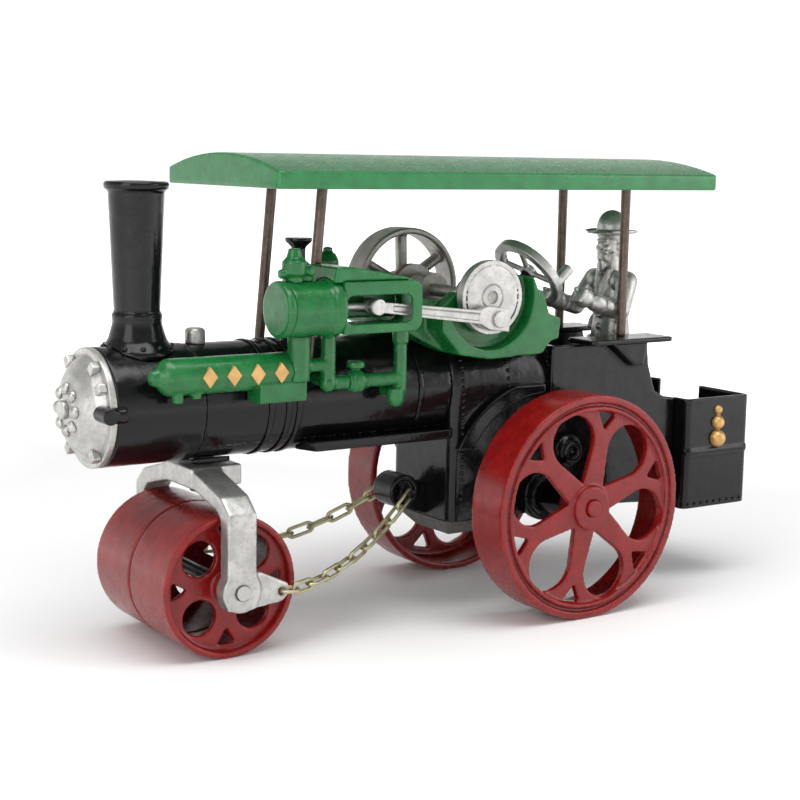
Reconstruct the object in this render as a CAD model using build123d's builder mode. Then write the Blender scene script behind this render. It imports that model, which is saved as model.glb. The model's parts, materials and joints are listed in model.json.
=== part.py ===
"""Toy steam road roller in cast metal, built from separate pieces.

Millimetres. +Z is up, the floor is Z = 0, the roller end faces -X and the
engine side is -Y. The origin is on the floor, midway between the smokebox
door and the tender's back wall.
"""
import os
from cmath import phase
from math import acos, asin, atan2, cos, degrees, pi, radians, sin, sqrt

from build123d import *

os.makedirs("parts", exist_ok=True)

# ---- driving dimensions ------------------------------------------------

# rear wheels and axle
WHEEL_R = 34.0
WHEEL_WIDTH = 15.0
WHEEL_OUT_Y = 42.0
WHEEL_WALL = 2.2
AXLE_X = 34.0
AXLE_R = 2.5
AXLE_END_Y = 43.6

# front roller, fork and steering
ROLLER_X = -77.0
ROLLER_R = 20.0
ROLLER_HALF = 22.6
ROLLER_WALL = 1.8
ROLLER_AXLE_R = 2.0
FORK_ARM_IN = 24.2
FORK_ARM_OUT = 29.4
FORK_TOP_Z = 46.4
LUG_X = ROLLER_X + 12.6
LUG_Y = 27.6
LUG_Z = ROLLER_R - 1.4

# boiler barrel
BOILER_R = 16.1
BOILER_Z = 68.6
BOILER_WALL = 2.0
SMOKEBOX_FRONT = -107.0
SMOKEBOX_BACK = -81.0
FIREBOX_FRONT = 0.0
FIREBOX_BACK = 36.0
FIREBOX_HALF = 16.5
FIREBOX_FAR = 15.3
FIREBOX_BOTTOM = 28.0
DOOR_NOSE = -116.5

# chimney
CHIMNEY_X = -94.0
CHIMNEY_TOP = 129.2

# feedwater heater
HEATER_Y = -19.4
HEATER_Z = 78.4
HEATER_R = 5.0

# engine: cylinder, slide and crank
ENGINE_Y = -25.0
ENGINE_Z = 95.6
CYL_R = 7.5
CYL_FRONT = -65.0
CYL_BACK = -50.0
CRANK_X = 7.6
CRANK_Z = 96.5
CRANK_THROW = 6.0
ROD_LENGTH = 42.4
ROD_Y = -27.8
DISC_R = 10.9
DISC_FRONT_Y = -25.0
DISC_THICK = 3.0
SHAFT_R = 1.9
FLYWHEEL_R = 18.3
FLYWHEEL_Y = 18.6
FLYWHEEL_WIDTH = 9.0

# belt drive
CRANK_PULLEY_R = 6.0
AXLE_PULLEY_R = 14.0
BELT_BOW_R = 62.0
BELT_Y = 17.0
BELT_WIDTH = 1.5
BELT_THICK = 0.9
BELT_GAP = 0.3

# canopy and its hoops
CANOPY_FRONT = -68.8
CANOPY_BACK = 88.2
CANOPY_HALF = 33.2
CANOPY_LOW = 128.0
CANOPY_EDGE = 132.6
CANOPY_TOP = 137.2
HOOP_R = 1.5
HOOP_TOP_Z = 132.7
FRONT_HOOP_X = -44.0
FRONT_HOOP_LEAN = 5.0
FRONT_HOOP_HALF = 14.3
REAR_HOOP_X = 66.0
REAR_HOOP_HALF = 15.5

# cab and tender
CAB_HALF = 18.4
CAB_FAR = 15.0
SHEET = 1.6
SEAT_TOP = 81.6
TENDER_FRONT = 88.0
TENDER_BACK = 116.5
TENDER_HALF = 24.0
TENDER_TOP = 60.6
TENDER_LOW = 24.2

# steering wheel
STEER_X = 35.5
STEER_Y = -6.0
STEER_Z = 102.0
STEER_R = 11.0
STEER_RIM = 1.5
STEER_TILT = 49.0

FIT_GAP = 0.05
CLEAR = 0.3

STEER_AXIS = (sin(radians(STEER_TILT)), 0, cos(radians(STEER_TILT)))
STEER_PLANE = Plane(origin=(STEER_X, STEER_Y, STEER_Z), x_dir=(0, 1, 0), z_dir=STEER_AXIS)


# ---- helpers: each adds to the part that is being built -----------------

def rod_x(x0, x1, y, z, r, mode=Mode.ADD):
    """A round bar along X."""
    with Locations(((x0 + x1) / 2, y, z)):
        Cylinder(r, abs(x1 - x0), rotation=(0, 90, 0), mode=mode)


def rod_y(x, y0, y1, z, r, mode=Mode.ADD):
    """A round bar along Y."""
    with Locations((x, (y0 + y1) / 2, z)):
        Cylinder(r, abs(y1 - y0), rotation=(90, 0, 0), mode=mode)


def rod_z(x, y, z0, z1, r, mode=Mode.ADD):
    """A round bar along Z."""
    with Locations((x, y, (z0 + z1) / 2)):
        Cylinder(r, abs(z1 - z0), mode=mode)


def block(x0, x1, y0, y1, z0, z1, mode=Mode.ADD):
    """A square-edged block between two corners."""
    with Locations(((x0 + x1) / 2, (y0 + y1) / 2, (z0 + z1) / 2)):
        Box(abs(x1 - x0), abs(y1 - y0), abs(z1 - z0), mode=mode)


def bar(start, end, r, mode=Mode.ADD):
    """A round bar between any two points."""
    along = Vector(*end) - Vector(*start)
    with Locations(Plane(origin=Vector(*start), z_dir=along).location):
        Cylinder(r, along.length, align=(Align.CENTER, Align.CENTER, Align.MIN), mode=mode)


def ball(x, y, z, r, mode=Mode.ADD):
    """A full ball."""
    with Locations((x, y, z)):
        Sphere(r, mode=mode)


def side_plate(points, y0, y1, mode=Mode.ADD):
    """A plate with an outline of (x, z) points, from y0 to y1."""
    with BuildSketch(Plane.XZ.offset(-y1)) as outline:
        with BuildLine():
            Polyline(*points, close=True)
        make_face()
    extrude(outline.sketch, amount=y1 - y0, mode=mode)


def turned_z(x, y, profile, mode=Mode.ADD):
    """A turned shape about a vertical axis, from (radius, z) points."""
    with BuildSketch(Plane.XZ.offset(-y)) as outline:
        with BuildLine():
            Polyline(*[(x + r, z) for r, z in profile], close=True)
        make_face()
    revolve(outline.sketch, axis=Axis((x, y, 0), (0, 0, 1)), mode=mode)


def turned_x(y, z, profile, mode=Mode.ADD):
    """A turned shape about an axis along X, from (x, radius) points."""
    with BuildSketch(Plane.XZ.offset(-y)) as outline:
        with BuildLine():
            Polyline(*[(x, z + r) for x, r in profile], close=True)
        make_face()
    revolve(outline.sketch, axis=Axis((0, y, z), (1, 0, 0)), mode=mode)


def turned_y(x, z, profile, mode=Mode.ADD):
    """A turned shape about an axis along Y, from (y, radius) points."""
    with BuildSketch(Plane.YZ.offset(x)) as outline:
        with BuildLine():
            Polyline(*[(y, z + r) for y, r in profile], close=True)
        make_face()
    revolve(outline.sketch, axis=Axis((x, 0, z), (0, 1, 0)), mode=mode)


def on_column(distance):
    """A point on the steering column, measured up from the wheel's centre."""
    return STEER_PLANE.origin + STEER_PLANE.z_dir * distance


def save(builder, name):
    """Label one finished piece and write its file."""
    builder.part.label = name
    export_step(builder.part, f"parts/{name}.step")


# ---- boiler, smokebox and chimney ---------------------------------------

BARREL_BACK = FIREBOX_FRONT

with BuildPart() as boiler:
    rod_x(SMOKEBOX_BACK, BARREL_BACK, 0, BOILER_Z, BOILER_R)
    rod_x(SMOKEBOX_BACK, BARREL_BACK, 0, BOILER_Z, BOILER_R - BOILER_WALL, Mode.SUBTRACT)
save(boiler, "boiler")

BAND_WIDTH = 2.2
BAND_RAISE = 0.45
BAND_PLACES = (-62.0, -56.6, -53.2, -12.0)

with BuildPart() as boiler_bands:
    for band_x in BAND_PLACES:
        rod_x(band_x, band_x + BAND_WIDTH, 0, BOILER_Z, BOILER_R + BAND_RAISE)
    rod_x(SMOKEBOX_BACK, BARREL_BACK, 0, BOILER_Z, BOILER_R, Mode.SUBTRACT)
save(boiler_bands, "boiler_bands")

SMOKEBOX_R = BOILER_R + 0.3

with BuildPart() as smokebox:
    rod_x(SMOKEBOX_FRONT, SMOKEBOX_BACK, 0, BOILER_Z, SMOKEBOX_R)
    rod_x(SMOKEBOX_FRONT, SMOKEBOX_BACK - 2, 0, BOILER_Z, SMOKEBOX_R - BOILER_WALL, Mode.SUBTRACT)
save(smokebox, "smokebox")

# The door is a dished disc with a raised clamp ring and a rosette.
DOOR_FLANGE = 2.0
DOOR_DISH_R = 14.4
DOOR_DISH = [
    (SMOKEBOX_FRONT - DOOR_FLANGE, 0),
    (SMOKEBOX_FRONT - DOOR_FLANGE, DOOR_DISH_R),
    (SMOKEBOX_FRONT - 4.4, 12.6),
    (SMOKEBOX_FRONT - 6.4, 9.6),
    (SMOKEBOX_FRONT - 7.8, 5.6),
    (SMOKEBOX_FRONT - 8.3, 0),
]

with BuildPart() as smokebox_door:
    rod_x(SMOKEBOX_FRONT - DOOR_FLANGE, SMOKEBOX_FRONT, 0, BOILER_Z, SMOKEBOX_R)
    turned_x(0, BOILER_Z, DOOR_DISH)
    fillet(smokebox_door.edges().filter_by(GeomType.CIRCLE).group_by(Axis.X)[1], 1.2)
save(smokebox_door, "smokebox_door")

# Eight petals and a boss stand on the door, with clamp lugs round its rim.
PETAL_COUNT = 8
PETAL_RING = 5.6
LUG_ANGLES = (35, 62, 145, 215, 325)

with BuildPart() as door_trim:
    rod_x(DOOR_NOSE, SMOKEBOX_FRONT - 7.5, 0, BOILER_Z, 2.6)
    for petal in range(PETAL_COUNT):
        turn = 2 * pi * petal / PETAL_COUNT
        ball(SMOKEBOX_FRONT - 7.2, PETAL_RING * sin(turn), BOILER_Z + PETAL_RING * cos(turn), 1.9)
    for angle in LUG_ANGLES:
        turn = radians(angle)
        with Locations(Location((SMOKEBOX_FRONT - 3.0, -13.6 * sin(turn), BOILER_Z + 13.6 * cos(turn)),
                                (angle, 0, 0))):
            Box(3.0, 2.6, 4.6)
    rod_x(SMOKEBOX_FRONT - DOOR_FLANGE, SMOKEBOX_FRONT + 1, 0, BOILER_Z, SMOKEBOX_R, Mode.SUBTRACT)
    turned_x(0, BOILER_Z, DOOR_DISH, Mode.SUBTRACT)
save(door_trim, "door_trim")

# A black hinge bar runs along the smokebox side and laps over the door rim.
HINGE_Y = -(SMOKEBOX_R + 1.4)

with BuildPart() as door_hinge:
    rod_x(SMOKEBOX_FRONT - 3.4, SMOKEBOX_FRONT + 1.6, HINGE_Y, BOILER_Z + 0.4, 2.2)
    block(SMOKEBOX_FRONT + 0.3, SMOKEBOX_FRONT + 1.6, HINGE_Y, -SMOKEBOX_R + 1.5,
          BOILER_Z - 1.4, BOILER_Z + 2.2)
    rod_y(SMOKEBOX_FRONT - 3.4, HINGE_Y - 2.2, HINGE_Y + 5.0, BOILER_Z + 0.4, 2.2)
    rod_x(SMOKEBOX_FRONT - DOOR_FLANGE - 0.02, SMOKEBOX_FRONT + 30, 0, BOILER_Z, SMOKEBOX_R, Mode.SUBTRACT)
    turned_x(0, BOILER_Z, DOOR_DISH, Mode.SUBTRACT)
save(door_hinge, "door_hinge")

CHIMNEY_BORE_R = 5.2

CHIMNEY_FOOT = [
    (0, 80.0),
    (10.4, 80.0),
    (10.4, 83.4),
    (8.0, 86.6),
    (6.9, 90.4),
    (0, 90.4),
]

with BuildPart() as chimney:
    turned_z(CHIMNEY_X, 0, CHIMNEY_FOOT)
    turned_z(CHIMNEY_X, 0, [
        (0, 90.0),
        (6.9, 90.0),
        (6.7, 92.2),
        (6.9, 92.4),
        (6.9, 93.6),
        (6.3, 93.8),
        (7.6, 126.6),
        (8.7, 127.2),
        (8.8, 128.6),
        (8.3, CHIMNEY_TOP),
        (0, CHIMNEY_TOP),
    ])
    rod_x(SMOKEBOX_FRONT, SMOKEBOX_BACK, 0, BOILER_Z, SMOKEBOX_R, Mode.SUBTRACT)
    rod_z(CHIMNEY_X, 0, 96.0, CHIMNEY_TOP + 1, CHIMNEY_BORE_R, Mode.SUBTRACT)
save(chimney, "chimney")


FILLER_X = -76.6

with BuildPart() as filler_plug:
    rod_z(FILLER_X, 0, BOILER_Z + BOILER_R - 1.2, 89.0, 2.9)
    fillet(filler_plug.edges().group_by(Axis.Z)[-1], 1.3)
    rod_x(SMOKEBOX_BACK, BARREL_BACK, 0, BOILER_Z, BOILER_R, Mode.SUBTRACT)
save(filler_plug, "filler_plug")

# ---- feedwater heater ---------------------------------------------------

HEATER_FRONT = -100.0
HEATER_BACK = -54.5

with BuildPart() as feed_heater:
    turned_x(HEATER_Y, HEATER_Z, [
        (HEATER_FRONT, 0),
        (HEATER_FRONT + 0.6, 1.8),
        (HEATER_FRONT + 2.6, 2.6),
        (HEATER_FRONT + 4.0, 4.2),
        (HEATER_FRONT + 5.4, HEATER_R),
        (HEATER_BACK - 1.2, HEATER_R),
        (HEATER_BACK, HEATER_R - 1.2),
        (HEATER_BACK, 0),
    ])
    rod_z(-92.0, HEATER_Y - 1.4, 71.6, 76.0, 1.5)
    rod_z(-86.6, HEATER_Y - 1.4, 72.4, 76.0, 1.4)
    block(-91.0, -63.0, HEATER_Y + 2.0, -12.0, 75.6, 78.6)
    block(-69.0, HEATER_BACK, HEATER_Y - 4.8, HEATER_Y + 3.0, 70.2, 75.6)
    rod_x(SMOKEBOX_FRONT, BARREL_BACK, 0, BOILER_Z, SMOKEBOX_R, Mode.SUBTRACT)
    add(boiler_bands.part, mode=Mode.SUBTRACT)
save(feed_heater, "feed_heater")

LOZENGE_COUNT = 4
LOZENGE_PITCH = 7.2
LOZENGE_FIRST = -84.4
LOZENGE_FACE = HEATER_Y - HEATER_R - 0.35

# ---- engine --------------------------------------------------------------

PISTON_ROD_R = 1.2
GUIDE_FRONT = -47.0
GUIDE_BACK = -21.4
GUIDE_TOP = 103.0
GUIDE_LOW = 88.6
SLOT_BACK = -24.6
SLOT_TOP = 99.2
SLOT_LOW = 91.2
GUIDE_IN = -22.0
GUIDE_OUT = -31.2

with BuildPart() as cylinder:
    rod_x(CYL_FRONT + 2.2, CYL_BACK, ENGINE_Y, ENGINE_Z, CYL_R)
    rod_x(CYL_BACK, GUIDE_FRONT, ENGINE_Y, ENGINE_Z, CYL_R + 0.7)
    block(-60.0, GUIDE_FRONT, ENGINE_Y, ENGINE_Y + 7.6, ENGINE_Z - 5.6, ENGINE_Z + 6.4)
    rod_x(-58.0, GUIDE_FRONT + 1, ENGINE_Y, ENGINE_Z, PISTON_ROD_R + CLEAR, Mode.SUBTRACT)
    rod_x(-63.0, CYL_BACK + 3.2, ENGINE_Y, ENGINE_Z, PISTON_ROD_R + CLEAR, Mode.SUBTRACT)
save(cylinder, "cylinder")

with BuildPart() as cylinder_cover:
    rod_x(CYL_FRONT, CYL_FRONT + 2.2, ENGINE_Y, ENGINE_Z, CYL_R + 0.3)
    fillet(cylinder_cover.edges().group_by(Axis.X)[0], 0.7)
save(cylinder_cover, "cylinder_cover")

COCK_X = -55.4

LUBE_X = -59.4

with BuildPart() as cylinder_fittings:
    turned_z(LUBE_X, ENGINE_Y, [
        (0, 100.0),
        (2.6, 100.0),
        (2.6, 104.4),
        (3.4, 105.2),
        (3.4, 108.4),
        (2.2, 109.6),
        (1.6, 112.0),
        (0, 112.0),
    ])
    rod_x(LUBE_X - 4.6, LUBE_X, ENGINE_Y, 105.2, 1.3)
    rod_z(COCK_X, ENGINE_Y, 100.0, 107.4, 1.7)
    rod_y(COCK_X, ENGINE_Y - 2.8, ENGINE_Y + 2.8, 105.8, 1.1)
    rod_x(CYL_FRONT - 4, CYL_BACK, ENGINE_Y, ENGINE_Z, CYL_R, Mode.SUBTRACT)
    rod_x(CYL_FRONT - 4, CYL_FRONT + 2.2, ENGINE_Y, ENGINE_Z, CYL_R + 0.35, Mode.SUBTRACT)
save(cylinder_fittings, "cylinder_fittings")

# The safety valve stands on the boiler behind the cylinder.
SAFETY_X = -43.6

with BuildPart() as safety_valve:
    turned_z(SAFETY_X, 0, [
        (0, 84.0),
        (4.6, 84.0),
        (4.6, 103.0),
        (4.2, 105.2),
        (2.0, 107.0),
        (2.0, 110.6),
        (3.9, 112.4),
        (3.9, 113.4),
        (0, 113.4),
    ])
    rod_x(SMOKEBOX_BACK, BARREL_BACK, 0, BOILER_Z, BOILER_R, Mode.SUBTRACT)
save(safety_valve, "safety_valve")

TURRET_X = -29.0
TURRET_Y = 8.0

with BuildPart() as steam_turret:
    turned_z(TURRET_X, TURRET_Y, [
        (0, 80.0),
        (3.3, 80.0),
        (3.3, 106.0),
        (2.4, 108.0),
        (1.4, 108.6),
        (1.4, 109.8),
        (0, 110.2),
    ])
    rod_x(SMOKEBOX_BACK, BARREL_BACK, 0, BOILER_Z, BOILER_R, Mode.SUBTRACT)
save(steam_turret, "steam_turret")

with BuildPart() as crosshead_guide:
    with BuildSketch(Plane.XZ.offset(-GUIDE_IN)):
        with Locations(((GUIDE_FRONT + GUIDE_BACK) / 2, (GUIDE_TOP + GUIDE_LOW) / 2)):
            RectangleRounded(GUIDE_BACK - GUIDE_FRONT, GUIDE_TOP - GUIDE_LOW, 3.4)
        with Locations((GUIDE_FRONT + 4.0, (GUIDE_TOP + GUIDE_LOW) / 2)):
            Rectangle(8.0, GUIDE_TOP - GUIDE_LOW)
        with Locations(((GUIDE_FRONT + 0.8 + SLOT_BACK) / 2, (SLOT_TOP + SLOT_LOW) / 2)):
            RectangleRounded(SLOT_BACK - GUIDE_FRONT - 0.8, SLOT_TOP - SLOT_LOW, 2.2, mode=Mode.SUBTRACT)
    extrude(amount=GUIDE_IN - GUIDE_OUT)
    block(SLOT_BACK - 9, GUIDE_BACK + 1, ROD_Y - 2.1, ROD_Y + 2.1, 90.2, 101.4, Mode.SUBTRACT)
    rod_x(GUIDE_FRONT - 1, GUIDE_FRONT + 3, ENGINE_Y, ENGINE_Z, PISTON_ROD_R + CLEAR, Mode.SUBTRACT)
    block(GUIDE_FRONT - 1, GUIDE_FRONT + 2.0, ROD_Y - 1.7, ENGINE_Y + 1.8, 93.4, 97.8, Mode.SUBTRACT)
save(crosshead_guide, "crosshead_guide")

with BuildPart() as valve_chest:
    side_plate([
        (GUIDE_FRONT - 3.0, GUIDE_TOP - 0.4),
        (GUIDE_FRONT - 2.0, 107.0),
        (GUIDE_FRONT + 3.0, 107.0),
        (GUIDE_BACK - 5.0, 104.0),
        (GUIDE_BACK - 1.0, GUIDE_TOP - 0.4),
    ], GUIDE_OUT + 0.6, -15.4)
    block(GUIDE_FRONT - 3.0, GUIDE_BACK - 3.0, GUIDE_IN + 0.05, -15.4, 92.0, GUIDE_TOP)
    rod_x(CYL_FRONT, GUIDE_FRONT, ENGINE_Y, ENGINE_Z, CYL_R + 0.7, Mode.SUBTRACT)
    block(-60.0, GUIDE_FRONT, ENGINE_Y, ENGINE_Y + 7.6, ENGINE_Z - 5.6, ENGINE_Z + 6.4, Mode.SUBTRACT)
    block(GUIDE_FRONT, GUIDE_BACK, GUIDE_OUT - 1, GUIDE_IN, GUIDE_LOW, GUIDE_TOP, Mode.SUBTRACT)
save(valve_chest, "valve_chest")

# ---- engine bed and bearings ---------------------------------------------

PIT_R = 15.4
BED_OUT = -25.2
BED_PIT_BACK = -20.4
BED_IN = 12.0

BEARING_PLACES = ((-20.0, -13.0), (5.0, BED_IN))
BEARING_R = 5.2
SOCKET_DEEP = 22.0

with BuildPart() as engine_bed:
    side_plate([
        (-10.2, 87.4),
        (-3.6, 80.0),
        (7.4, 78.2),
        (26.6, 79.0),
        (29.8, 82.6),
        (33.0, 83.4),
        (33.4, 89.6),
        (29.0, 91.0),
        (26.6, 97.4),
        (24.4, 98.6),
        (22.6, 102.4),
        (20.4, 102.4),
        (15.0, 98.0),
        (-2.0, 98.0),
        (-10.2, 92.0),
    ], BED_OUT, -16.0)
    rod_y(CRANK_X, BED_OUT - 1, BED_PIT_BACK, CRANK_Z, PIT_R, Mode.SUBTRACT)
    side_plate([
        (-20.0, 88.0),
        (-3.6, 80.0),
        (30.0, 79.0),
        (33.0, 88.0),
        (24.0, 92.0),
        (-12.0, 96.0),
        (-20.0, 96.0),
    ], -17.0, BED_IN)
    rod_x(-30, FIREBOX_FRONT, 0, BOILER_Z, BOILER_R, Mode.SUBTRACT)
    rod_x(FIREBOX_FRONT, 40, 0, BOILER_Z, FIREBOX_HALF, Mode.SUBTRACT)
    rod_z(TURRET_X, TURRET_Y, 70, 120, 3.3, Mode.SUBTRACT)
    rod_y(CRANK_X, -30, 30, CRANK_Z, SHAFT_R + 1.4, Mode.SUBTRACT)
    for y_low, y_high in BEARING_PLACES:
        rod_y(CRANK_X, y_low, y_high, CRANK_Z, BEARING_R, Mode.SUBTRACT)
        block(CRANK_X - BEARING_R, CRANK_X + BEARING_R, y_low, y_high, 91.4, CRANK_Z, Mode.SUBTRACT)
    bar(on_column(-SOCKET_DEEP), on_column(0), 2.6, Mode.SUBTRACT)
    add(boiler_bands.part, mode=Mode.SUBTRACT)
save(engine_bed, "engine_bed")

with BuildPart() as main_bearings:
    for y_low, y_high in BEARING_PLACES:
        rod_y(CRANK_X, y_low, y_high, CRANK_Z, BEARING_R)
        block(CRANK_X - BEARING_R, CRANK_X + BEARING_R, y_low, y_high, 91.4, CRANK_Z)
    rod_y(CRANK_X, -30, 30, CRANK_Z, SHAFT_R + FIT_GAP, Mode.SUBTRACT)
save(main_bearings, "main_bearings")

# ---- steam pipes ----------------------------------------------------------

PIPE_Y = -22.6
PIPE_R = 1.9
VALVE_X = -38.0
VALVE_Z = 74.4

with BuildPart() as steam_pipes:
    rod_z(-23.0, PIPE_Y, 70.0, GUIDE_LOW + 0.2, PIPE_R)
    rod_z(-23.0, PIPE_Y, 84.6, GUIDE_LOW - 0.05, 2.4)
    rod_z(-24.4, PIPE_Y, 68.0, 71.6, 2.5)
    ball(-24.4, PIPE_Y, 68.6, 2.5)
    rod_x(-47.0, -23.0, PIPE_Y, VALVE_Z, 2.0)
    ball(-47.0, PIPE_Y, VALVE_Z, 2.5)
    rod_z(-47.0, PIPE_Y, VALVE_Z, ENGINE_Z - 4.0, 2.1)
    rod_z(-56.4, PIPE_Y, 75.6, ENGINE_Z - 4.0, 3.2)
    rod_x(-56.4, -47.0, PIPE_Y, 79.6, 1.9)
    rod_y(-24.4, PIPE_Y, -13.4, 70.4, 1.7)
    rod_y(-47.0, PIPE_Y, -13.4, 74.8, 1.7)
    rod_x(SMOKEBOX_BACK, BARREL_BACK, 0, BOILER_Z, BOILER_R, Mode.SUBTRACT)
    rod_x(CYL_FRONT, CYL_BACK, ENGINE_Y, ENGINE_Z, CYL_R, Mode.SUBTRACT)
    block(-60.0, -44.0, ENGINE_Y, -10, ENGINE_Z - 5.6, ENGINE_Z + 6.4, Mode.SUBTRACT)
    rod_x(CYL_BACK, GUIDE_FRONT, ENGINE_Y, ENGINE_Z, CYL_R + 0.7, Mode.SUBTRACT)
    block(GUIDE_FRONT, GUIDE_BACK, -40, -10, GUIDE_LOW, GUIDE_TOP, Mode.SUBTRACT)
    rod_x(HEATER_FRONT, HEATER_BACK, HEATER_Y, HEATER_Z, HEATER_R, Mode.SUBTRACT)
    rod_x(VALVE_X - 2.7, VALVE_X + 2.7, PIPE_Y, VALVE_Z, 4, Mode.SUBTRACT)
save(steam_pipes, "steam_pipes")

with BuildPart() as globe_valve:
    turned_x(PIPE_Y, VALVE_Z, [
        (VALVE_X - 2.7, 0),
        (VALVE_X - 2.7, 2.5),
        (VALVE_X - 2.0, 2.5),
        (VALVE_X - 1.4, 3.2),
        (VALVE_X + 1.4, 3.2),
        (VALVE_X + 2.0, 2.5),
        (VALVE_X + 2.7, 2.5),
        (VALVE_X + 2.7, 0),
    ])
    rod_z(VALVE_X, PIPE_Y, VALVE_Z, VALVE_Z + 3.8, 1.1)
    rod_z(VALVE_X, PIPE_Y, VALVE_Z + 3.8, VALVE_Z + 5.8, 2.6)
    fillet(globe_valve.edges().group_by(Axis.Z)[-1], 0.7)
save(globe_valve, "globe_valve")

# ---- firebox, ash pan, ledge and saddles ----------------------------------

with BuildPart() as firebox:
    block(FIREBOX_FRONT, FIREBOX_BACK, -FIREBOX_HALF, FIREBOX_HALF, FIREBOX_BOTTOM, BOILER_Z)
    rod_x(FIREBOX_FRONT, FIREBOX_BACK, 0, BOILER_Z, FIREBOX_HALF)
    block(FIREBOX_FRONT - 1, FIREBOX_BACK + 1, FIREBOX_FAR, FIREBOX_HALF + 1,
          FIREBOX_BOTTOM - 1, BOILER_Z + 20, Mode.SUBTRACT)
    fillet(firebox.edges().filter_by(Axis.Z).group_by(Axis.X)[0], 3.0)
    rod_y(AXLE_X, -30, 30, WHEEL_R, 5.0, Mode.SUBTRACT)
    rod_x(FIREBOX_FRONT - 1, 10, 0, BOILER_Z, BOILER_R - BOILER_WALL, Mode.SUBTRACT)
save(firebox, "firebox")


STUB_X = AXLE_X + 7.6
STUB_Z = WHEEL_R + 13.4

# A toothed-gear guard, concentric with the axle, is fixed to each side.
GUARD_IN = 31.6
GUARD_OUT = 36.6
GUARD_THICK = 2.1

with BuildPart() as gear_guards:
    rod_y(AXLE_X, -FIREBOX_HALF - GUARD_THICK, -FIREBOX_HALF, WHEEL_R, GUARD_OUT)
    rod_y(AXLE_X, -30, 30, WHEEL_R, GUARD_IN, Mode.SUBTRACT)
    block(-10, 80, -30, 30, -10, 50.0, Mode.SUBTRACT)
    block(-10, 80, -30, 30, BOILER_Z, 90.0, Mode.SUBTRACT)
    block(-10, 1.0, -30, 30, -10, 90.0, Mode.SUBTRACT)
    block(AXLE_X, 90, -30, 30, -10, 90.0, Mode.SUBTRACT)
    turned_y(STUB_X, STUB_Z, [
        (-CAB_HALF, 0),
        (-CAB_HALF, 5.2),
        (-21.0, 5.2),
        (-22.0, 4.2),
        (-23.4, 3.6),
        (-23.4, 0),
    ])
    rod_y(STUB_X, -22.0, -24.0, STUB_Z, 1.5, Mode.SUBTRACT)
save(gear_guards, "gear_guards")

with BuildPart() as ash_pan:
    with BuildSketch(Plane.XY.offset(FIREBOX_BOTTOM)):
        with Locations((10.0, 0)):
            Rectangle(20.0, 27.0)
    with BuildSketch(Plane.XY.offset(FIREBOX_BOTTOM - 5.4)):
        with Locations((11.0, 0)):
            Rectangle(12.0, 18.0)
    loft()
save(ash_pan, "ash_pan")

LEDGE_FRONT = -50.0

with BuildPart() as side_ledges:
    for side in (-1, 1):
        with BuildSketch(Plane.XY.offset(53.8)):
            with BuildLine():
                Polyline(
                    (LEDGE_FRONT, side * 9.0),
                    (LEDGE_FRONT + 3.0, side * FIREBOX_HALF),
                    (FIREBOX_FRONT, side * FIREBOX_HALF),
                    (FIREBOX_FRONT, side * 9.0),
                    close=True,
                )
            make_face()
        extrude(amount=3.0)
    block(-10, 1, BELT_Y - 1.2, 20, 50, 60, Mode.SUBTRACT)
    rod_x(SMOKEBOX_BACK, BARREL_BACK, 0, BOILER_Z, BOILER_R + BAND_RAISE, Mode.SUBTRACT)
save(side_ledges, "side_ledges")

PIVOT_X = ROLLER_X + 3.0
PIVOT_PIN_R = 2.6

with BuildPart() as fork_pedestal:
    block(PIVOT_X - 6.0, PIVOT_X + 6.0, -6.0, 6.0, 51.4, 58.0)
    fillet(fork_pedestal.edges().filter_by(Axis.Z), 2.0)
    rod_x(SMOKEBOX_FRONT, BARREL_BACK, 0, BOILER_Z, SMOKEBOX_R, Mode.SUBTRACT)
    rod_z(PIVOT_X, 0, 40.0, 60.0, PIVOT_PIN_R, Mode.SUBTRACT)
save(fork_pedestal, "fork_pedestal")

with BuildPart() as fork_pin:
    rod_z(PIVOT_X, 0, 43.8, 55.0, PIVOT_PIN_R)
    rod_z(PIVOT_X, 0, 42.8, 44.6, PIVOT_PIN_R + 1.2)
    rod_x(SMOKEBOX_FRONT, BARREL_BACK, 0, BOILER_Z, SMOKEBOX_R, Mode.SUBTRACT)
save(fork_pin, "fork_pin")

# ---- fork, roller and roller axle -----------------------------------------

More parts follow.
